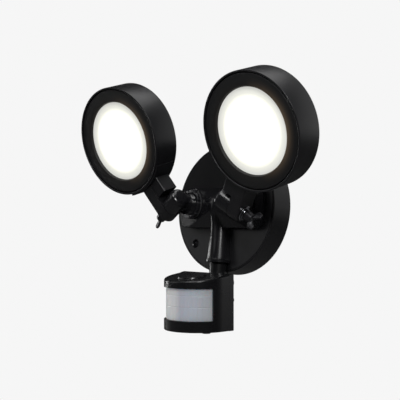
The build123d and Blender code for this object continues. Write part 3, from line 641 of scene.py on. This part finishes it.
# The eye, the washers and the wing screw lie along the joint's axis
# The thread, the nut and the seal lie along the nipple's
eye = {
    "radius": 9.6, "inner": 10.85, "outer": 6.85, "dome": 5.0, "outerRound": 0.4,
    "neckOut": 6.7, "neckIn": 10.0,  # how far the neck reaches towards the eye's outer and inner end
}
nipple = {"radius": 10.45, "pitch": 1.8, "threadDepth": 0.9, "start": 10.4, "end": 33.6, "overlap": 0.2}
lockNut = {
    "radius": 13.8, "bore": 10.5, "low": 15.5, "high": 19.1, "edge": 0.6,
    "notches": 8, "notchDepth": 1.1, "notchWidth": 0.09, "notchReach": 1.6,
}
seal = {"radius": 13.4, "low": 19.1, "high": 20.8, "edge": 0.5}
washers = {
    "seat": 12.0, "hole": 3.3, "flatRadius": 7.5, "flatThick": 1.3, "flatEdge": 0.3,
    "springRadius": 5.8, "springThick": 1.5, "wireInset": 0.2, "wireRound": 0.15,
    "halfGap": 8, "climb": 0.35,
}
wing = {
    "start": 14.8, "bossRadius": 5.2, "bossLength": 7, "bossTaper": 8, "bossRounds": (0, 0.3, 0.9, 0),
    "screwRadius": 3.0, "screwPitch": 1.0, "screwDepth": 0.45, "reach": 9, "overlap": 0.5,
    "turn": 45, "thick": 2.6, "bladeEdge": 0.8, "span": 9.5, "rise": 13.5,
    # one wing, as shares of the span and the rise, and the roundings from its foot to the dip
    "outline": ((0.32, 0.07), (0.5, 0.4), (0.94, 0.62), (0.9, 0.92), (0.5, 0.96)),
    "rounds": (0.5, 1.1, 1.4, 1.4, 1.2, 1.0),
}


def eyeShell(e):
    # the barrel's axis is z, its inner end domed; the outer end meets the bracket's ear
    profile = [(0, -e["inner"]), (e["radius"], -e["inner"]), (e["radius"], e["outer"]), (0, e["outer"])]
    return turnedShell(roundedLine(profile, [0, e["dome"], e["outerRound"], 0], steps=10, closed=False), 96)


def neckShells(e, n, toEye):
    # the neck leaves the eye square to the joint, a little towards the eye's inner end
    # the thread follows on it
    radius, top = (e["neckOut"] + e["neckIn"]) / 2, n["start"] + n["overlap"]
    points, faces = turnedShell([(0, 0), (radius, 0), (radius, top), (0, top)], 96)
    neck = points + np.array([(e["neckOut"] - e["neckIn"]) / 2, 0, 0]), faces
    thread = threadShell(n["radius"], n["pitch"], n["threadDepth"], n["start"], n["end"], 96)
    return [(points @ toEye[:3, :3].T + toEye[:3, 3], faces) for points, faces in (neck, thread)]


def nutRadius(n, around=192):
    # the outer radius drops in notches with sloped flanks, evenly round the nut
    phase = (np.arange(around) / around * n["notches"]) % 1 - 0.5
    return n["radius"] - n["notchDepth"] * np.clip(n["notchReach"] - np.abs(phase) / n["notchWidth"], 0, 1)


def springWasherShell(w):
    # a square wire goes round once but for a gap, and climbs by its own spring
    turn = np.linspace(math.radians(w["halfGap"]), math.radians(360 - w["halfGap"]), 72)[:, None]
    climb = (turn / (2 * math.pi) - 0.5) * w["climb"]
    low, high = w["wireInset"], w["springThick"] - w["wireInset"]
    corners = [(w["hole"], low), (w["springRadius"], low), (w["springRadius"], high), (w["hole"], high)]
    wire = roundedLine(corners, w["wireRound"], steps=2)
    points, faces = gridShell(ringsAt(wire[None, :, 0], wire[None, :, 1] + climb, turn), capped=True)
    return points + np.array([0, 0, w["seat"] + w["flatThick"]]), faces


def wingShells(w, side):
    # a tapered boss, a flat blade with two rounded wings and the screw, all along the joint's axis
    s = w["start"]
    top = s + w["bossLength"]
    end = w["bossRadius"] - w["bossLength"] * math.tan(math.radians(w["bossTaper"]))
    profile = [(0, s), (w["bossRadius"], s), (end, top), (0, top)]
    boss = turnedShell(roundedLine(profile, w["bossRounds"], closed=False), 64)
    half = [(x * w["span"], s + z * w["rise"]) for x, z in w["outline"]] + [(0, s + w["rise"] / 2)]
    outline = half + [(-x, z) for x, z in half[-2::-1]]
    line = roundedLine(outline, w["rounds"] + w["rounds"][-2::-1], steps=4)
    edge = w["bladeEdge"]
    points, faces = slabShell(line, -w["thick"] / 2, w["thick"] / 2, edge, edge, steps=4)
    # The blade is turned about the screw's axis, mirrored from side to side
    turn = math.radians(-side * w["turn"])
    along, across = points[:, 0], points[:, 2]
    x = along * math.cos(turn) - across * math.sin(turn)
    y = along * math.sin(turn) + across * math.cos(turn)
    blade = np.column_stack([x, y, points[:, 1]]), faces
    screwTop = s + w["overlap"]
    screw = threadShell(w["screwRadius"], w["screwPitch"], w["screwDepth"], -w["reach"], screwTop, 32)
    return [boss, blade, screw]


for name, side in sides.items():
    joint, eyeAxes, place = jointPlace(side), eyePlace(side), nipplePlace(side)
    arm = [eyeShell(eye)] + neckShells(eye, nipple, np.linalg.inv(eyeAxes) @ place)
    shellPiece(f"nippleArm_{name}", arm, eyeAxes, f"arm_{name}", smoothCoat, f"arm_{name}")
    n, s, w = lockNut, seal, washers
    nut = ringShell(nutRadius(n), n["bore"], n["low"], n["high"], n["edge"])
    shellPiece(f"lockRing_{name}", [nut], place, "wall_body", blackZinc, f"lock_nut_{name}")
    rubber = ringShell(s["radius"], n["bore"], s["low"], s["high"], s["edge"])
    shellPiece(f"sealRing_{name}", [rubber], place, "wall_body", epdmRubber, f"nipple_seal_{name}")
    flatTop = w["seat"] + w["flatThick"]
    plain = ringShell(w["flatRadius"], w["hole"], w["seat"], flatTop, w["flatEdge"], around=96)
    shellPiece(
        f"plainWasher_{name}", [plain], joint, f"head_{name}", agedZinc, f"flat_washer_{name}"
    )
    shellPiece(
        f"splitWasher_{name}", [springWasherShell(w)], joint,
        f"head_{name}", agedZinc, f"spring_washer_{name}",
    )
    shellPiece(
        f"wingBolt_{name}", wingShells(wing, side), joint,
        f"wing_{name}", blackZinc, f"wing_screw_{name}",
    )
print("lap joints made")

# A soft keel down the stem's front that flares into the ridge at its top, by the heights of its sections
stemFlare = {
    "heights": (-46.6, -30, -16, -8, -2, 4, 7.9), "halfWidths": (6.5, 6, 5.8, 6.5, 9, 13.5, 17),
    "fronts": (-36.1, -35.7, -36.1, -37.3, -38.9, -39, -38.2), "soft": 14, "rows": 60, "around": 96,
    "behind": 2,
}
canopyScrew = {
    "reach": 47.75, "angle": 45, "seat": 18.7, "radius": 3.2, "height": 2.0,
    "wallShare": 0.35, "edgeShare": 0.86,  # of the height and of the radius
    "crossLength": 4.2, "crossWidth": 0.9, "crossDepth": 1.1, "endFlank": 0.25, "sideFlank": 0.2,
    "shank": 2.0, "pitch": 0.9, "threadDepth": 0.35, "overlap": 0.3,
}


def flareShell(f):
    # half ellipses round the stem's axis, as wide and as far forward as the section's height says
    # behind the axis they are cut short, so that they stay inside the casting
    z = np.linspace(f["heights"][0], f["heights"][-1], f["rows"])[:, None]
    halfWidth, front = (
        np.interp(z, *roundedLine(list(zip(f["heights"], f[key])), f["soft"], steps=8, closed=False).T)
        for key in ("halfWidths", "fronts")
    )
    turn = anglesRound(f["around"])
    x = halfWidth * np.sin(turn)
    y = layout["stemY"] + np.minimum((front - layout["stemY"]) * np.cos(turn), f["behind"])
    return gridShell(np.stack([x, y, z + 0 * x], axis=-1), capped=True)


def crossRecess(x, y, c):
    # 1 in two crossed slots and 0 outside them, with soft flanks
    def slot(along, across):
        ends = np.clip((c["crossLength"] / 2 - np.abs(along)) / c["endFlank"], 0, 1)
        return ends * np.clip((c["crossWidth"] / 2 - np.abs(across)) / c["sideFlank"] + 0.5, 0, 1)
    return np.maximum(slot(x, y), slot(y, x))


def screwHeadShell(c, around=96):
    # a polar grid: the height is a short wall and an elliptical dome on it, less the crossed recess
    # the radii lie evenly up to the edge share and ever closer from there to the rim
    edge = c["edgeShare"]
    nearRim = edge + (1 - edge) * np.sin(np.linspace(0, math.pi / 2, 8))[1:]
    share = np.append(np.linspace(0, edge, 30), nearRim)[:, None]
    angle = anglesRound(around)
    x, y = c["radius"] * share * np.cos(angle), c["radius"] * share * np.sin(angle)
    dome = c["wallShare"] + (1 - c["wallShare"]) * np.sqrt(np.clip(1 - share**2, 0, 1))
    top = c["seat"] + c["height"] * dome - c["crossDepth"] * crossRecess(x, y, c)
    grid = np.stack([x, y, top], axis=-1)
    # The flat underside is the rim once more, at the seat's height, and the middle
    rim = grid[-1] * [1, 1, 0] + [0, 0, c["seat"]]
    return gridShell(np.concatenate([grid, [rim, rim * [0, 0, 1]]]))


finishedNode("canopy", powderCoat, edge=0.25)
finishedNode("arm_base", smoothCoat, edge=0.3, extra=flareShell(stemFlare))
finishedNode("wall_gasket", epdmRubber)
finishedNode("mounting_strap", zincSteel, edge=0.2)
finishedNode("led_driver", whitePbt, edge=0.4)
finishedNode("terminal_block", naturalNylon, edge=0.3)
for end in ("left", "right", "top"):
    finishedNode(f"base_screw_{end}", zincSteel)
for name, side in sides.items():
    c = canopyScrew
    turn = math.radians(c["angle"])
    hole = (side * c["reach"] * math.cos(turn), 0, side * c["reach"] * math.sin(turn))
    shank = threadShell(c["shank"], c["pitch"], c["threadDepth"], 0, c["seat"] + c["overlap"], 32)
    shellPiece(
        f"canopyScrew_{name}", [screwHeadShell(c), shank], placeFrom(hole, (1, 0, 0), (0, -1, 0)),
        "wall_body", blackZinc, f"canopy_screw_{name}",
    )
print("wall body made")

lens = {
    "centreY": -26.0, "radius": 28.6, "inner": 27.4, "low": -30.8, "high": -2.7, "halfAngle": 70.6,
    "facets": 15, "tiers": (0.42, 0.78), "groove": 0.22, "grooveWidth": 0.35,
    "columns": 361, "rows": 113,
}


def lensShell(l):
    # a half-round band; its outside dips in narrow bell-shaped grooves between the facets and the tiers
    end = np.radians(l["halfAngle"])
    turn = np.radians(np.linspace(-l["halfAngle"], l["halfAngle"], l["columns"]))
    height = np.linspace(0, 1, l["rows"])[:, None]
    span = l["high"] - l["low"]
    facet = turn / (2 * end) * l["facets"] + l["facets"] / 2
    gap = np.abs(facet - np.round(facet)) * l["radius"] * 2 * end / l["facets"]
    dips = np.exp(-((gap / l["grooveWidth"]) ** 2))
    tiers = sum(np.exp(-(((height - tier) * span / l["grooveWidth"]) ** 2)) for tier in l["tiers"])
    radius = l["radius"] - l["groove"] * np.maximum(dips, tiers)
    z = l["low"] + span * height + 0 * turn
    outside, inside = (
        np.stack([r * np.sin(turn) + 0 * z, l["centreY"] - r * np.cos(turn) + 0 * z, z], axis=-1)
        for r in (radius, l["inner"])
    )
    points, faces = gridShell(np.concatenate([outside, inside[:, ::-1]], axis=1))
    # Close the two curved edges between the outside and the inside
    columns = 2 * l["columns"]
    half = np.arange(l["columns"] - 1)
    for base in (0, (l["rows"] - 1) * columns):
        strip = [base + half, base + half + 1, base + columns - 2 - half, base + columns - 1 - half]
        faces += np.stack(strip, axis=-1).tolist()
    return points, faces


def unrolledUv(piece, place, l):
    # u runs round the band and v up it, both in metres, so that ring patterns stay round
    local = localPoints(piece, place)
    u = np.arctan2(local[:, 0], l["centreY"] - local[:, 1]) * l["radius"] * mm
    writeUv(piece, "unrolled", u, (local[:, 2] - l["low"]) * mm)


sensor = sensorPlace()
band = shellPiece(
    "facetLens", [lensShell(lens)], sensor,
    "sensor", milkyPolyethylene, "fresnel_lens", smoothAngle=50,
)
unrolledUv(band, sensor, lens)
finishedNode("sensor_shell", mouldedAbs, edge=0.35)
finishedNode("sensor_cover", mouldedAbs, edge=0.3)
finishedNode("sensor_board", greenBoard)
finishedNode("sensor_neck", mouldedAbs, edge=0.4)
finishedNode("hinge_bolt", blackZinc, edge=0.15)
finishedNode("hinge_nut", zincSteel, edge=0.2)
for name in sides:
    finishedNode(f"cover_screw_{name}", blackZinc)
for name in ("time", "sense"):
    finishedNode(f"dial_{name}", mouldedAbs, edge=0.2)
print("sensor made")

camera = {
    "place": (604.6, -677.0, -64.8), "azimuth": 44.16, "elevation": -4.54, "roll": 3.81,
    "lens": 86.94, "sensor": 36, "nearest": 10,
}
studio = {
    "aim": (0, -50, 20),
    # azimuth and elevation round the light, distance and size in millimetres, power in watts
    "lamps": {
        "overhead": {"azimuth": -8, "elevation": 64, "distance": 1100, "size": (700, 500), "power": 5},
        "frontStrip": {"azimuth": 46, "elevation": 23, "distance": 1300, "size": (170, 340), "power": 11},
        "leftStrip": {"azimuth": -86, "elevation": 5, "distance": 1300, "size": (160, 640), "power": 3.6},
        "topSoft": {"azimuth": 150, "elevation": 80, "distance": 1200, "size": (900, 600), "power": 5},
        "highSpot": {"azimuth": 4, "elevation": 43, "distance": 1200, "size": (360, 200), "power": 2.8},
    },
    "leftFill": (0.9, 0.9, 0.9),  # linear light that matt surfaces get from the left and from the right
    "rightFill": (0.14, 0.14, 0.15),
    "leftGlow": 1.55,  # brightness of the upper left studio in a mirror
    "frontGlow": 0.02,
    # where each part of the studio comes in: an axis of the direction, its value at nothing and at full
    "parts": {
        "rearward": ("Y", 0.45, 0.72), "rightward": ("X", -0.25, 0.2),
        "leftward": ("X", -0.4, -0.74), "upward": ("Z", -0.04, 0.14), "forward": ("Y", -0.36, -0.56),
        "across": ("X", -0.9, 0.3),
    },
    "floorZ": -700,
    "floorRoughness": 0.9,
    "floorHalf": 30000,
    "floorGlow": (0.13, 0.03),  # painted glow: brightness of the floor in a mirror, under the object and far away
    "floorFade": (1.2, 3.0),  # metres from the object between the two
    "backdrop": "#f6f6f6",
}


def directionFrom(azimuth, elevation):
    # from the object towards a viewer at that azimuth and elevation
    a, e = math.radians(azimuth), math.radians(elevation)
    return np.array([math.sin(a) * math.cos(e), -math.cos(a) * math.cos(e), math.sin(e)])


def levelRight(azimuth):
    # what lies level and to the right for that viewer
    return np.array([math.cos(math.radians(azimuth)), math.sin(math.radians(azimuth)), 0])


def linked(name, data, right=None, up=None, origin=None):
    # an object in the scene, for a camera or a lamp with its own right, up and place
    item = bpy.data.objects.new(name, data)
    bpy.context.scene.collection.objects.link(item)
    if right is not None:
        matrix = np.eye(4)
        matrix[:3, 0], matrix[:3, 1], matrix[:3, 2] = right, up, np.cross(right, up)
        matrix[:3, 3] = np.array(origin) * mm
        item.matrix_world = Matrix(matrix.tolist())
    return item


def makeCamera(c):
    data = bpy.data.cameras.new("photoCamera")
    data.sensor_width, data.lens, data.clip_start = c["sensor"], c["lens"], c["nearest"] * mm
    forward, level = -directionFrom(c["azimuth"], c["elevation"]), levelRight(c["azimuth"])
    roll = math.radians(c["roll"])
    right = math.cos(roll) * level + math.sin(roll) * np.cross(level, forward)
    bpy.context.scene.camera = linked("photoCamera", data, right, np.cross(right, forward), c["place"])


def makeLamp(name, l, aim):
    # an area lamp shines along its own -z
    data = bpy.data.lights.new(name, "AREA")
    data.shape = "RECTANGLE"
    data.size, data.size_y = l["size"][0] * mm, l["size"][1] * mm
    data.energy = l["power"]
    towards, level = directionFrom(l["azimuth"], l["elevation"]), levelRight(l["azimuth"])
    linked(name, data, level, np.cross(towards, level), np.array(aim) + towards * l["distance"])


def makeWorld(s):
    # the camera sees the pale backdrop, and so does a mirror that looks past the object to its rear right
    # before the object a mirror sees a dim studio with a soft light at its upper left
    world = bpy.data.worlds.new("studio")
    world.use_nodes = True
    bpy.context.scene.world = world
    tree = world.node_tree
    tree.nodes.clear()
    where = addNode(tree, "ShaderNodeTexCoord")
    split = addNode(tree, "ShaderNodeSeparateXYZ", None, {"Vector": where.outputs["Generated"]})
    part = {
        name: addNode(
            tree, "ShaderNodeMapRange", {"From Min": none, "From Max": full}, {"Value": split.outputs[axis]}
        ).outputs["Result"]
        for name, (axis, none, full) in s["parts"].items()
    }
    times = {"operation": "MULTIPLY"}
    behind = addNode(tree, "ShaderNodeMath", times, {0: part["rearward"], 1: part["rightward"]})
    upperLeft = addNode(tree, "ShaderNodeMath", times, {0: part["leftward"], 1: part["upward"]})
    softbox = addNode(tree, "ShaderNodeMath", times, {0: upperLeft.outputs[0], 1: part["forward"]})
    front = addNode(
        tree, "ShaderNodeMapRange", {"To Min": s["frontGlow"], "To Max": s["leftGlow"]},
        {"Value": softbox.outputs[0]},
    )
    backdrop = linearColour(s["backdrop"])
    glossy = addNode(
        tree, "ShaderNodeMix", {"data_type": "RGBA", 7: backdrop},
        {0: behind.outputs[0], 6: front.outputs["Result"]},
    )
    fill = addNode(
        tree, "ShaderNodeMix", {"data_type": "RGBA", 6: (*s["leftFill"], 1), 7: (*s["rightFill"], 1)},
        {0: part["across"]},
    )
    path = addNode(tree, "ShaderNodeLightPath")
    shown = addNode(tree, "ShaderNodeBackground", {"Strength": 1.0}, {"Color": fill.outputs[2]})
    mirrored = addNode(tree, "ShaderNodeBackground", {"Strength": 1.0}, {"Color": glossy.outputs[2]})
    plain = addNode(tree, "ShaderNodeBackground", {"Color": backdrop, "Strength": 1.0})
    for ray, seen in (("Is Glossy Ray", mirrored), ("Is Transmission Ray", plain), ("Is Camera Ray", plain)):
        shown = addNode(
            tree, "ShaderNodeMixShader", None, {0: path.outputs[ray], 1: shown.outputs[0], 2: seen.outputs[0]}
        )
    addNode(tree, "ShaderNodeOutputWorld", None, {"Surface": shown.outputs[0]})


def makeFloor(s):
    half, z = s["floorHalf"] * mm, s["floorZ"] * mm
    corners = [(-half, -half, z), (half, -half, z), (half, half, z), (-half, half, z)]
    mesh = bpy.data.meshes.new("studioFloor")
    mesh.from_pydata(corners, [], [(0, 1, 2, 3)])
    floor = linked("studioFloor", mesh)
    backdrop = linearColour(s["backdrop"])
    # Painted board: dull and even, as pale as the backdrop
    material, tree, shader = newMaterial("paintedFloor")
    shader.inputs["Base Color"].default_value = backdrop
    shader.inputs["Roughness"].default_value = s["floorRoughness"]
    # Painted light: in a mirror the floor glows under the object, an emission that fades out with the
    # distance
    where = addNode(tree, "ShaderNodeTexCoord")
    distance = addNode(tree, "ShaderNodeVectorMath", {"operation": "LENGTH"}, {0: where.outputs["Object"]})
    (start, end), (near, far) = s["floorFade"], s["floorGlow"]
    fade = addNode(
        tree, "ShaderNodeMapRange", {"From Min": start, "From Max": end, "To Min": near, "To Max": far},
        {"Value": distance.outputs["Value"]},
    )
    dim = addNode(tree, "ShaderNodeEmission", {"Color": backdrop}, {"Strength": fade.outputs["Result"]})
    glow = addNode(tree, "ShaderNodeEmission", {"Color": backdrop, "Strength": 1.0})
    path = addNode(tree, "ShaderNodeLightPath")
    shown = shader
    for ray, seen in (("Is Glossy Ray", dim), ("Is Camera Ray", glow)):
        shown = addNode(
            tree, "ShaderNodeMixShader", None, {0: path.outputs[ray], 1: shown.outputs[0], 2: seen.outputs[0]}
        )
    output = next(node for node in tree.nodes if node.type == "OUTPUT_MATERIAL")
    tree.links.new(shown.outputs[0], output.inputs["Surface"])
    mesh.materials.append(material)


makeCamera(camera)
makeWorld(studio)
makeFloor(studio)
for name, lamp in studio["lamps"].items():
    makeLamp(name, lamp, studio["aim"])
bpy.context.scene.view_settings.view_transform = "Standard"
print("studio made")
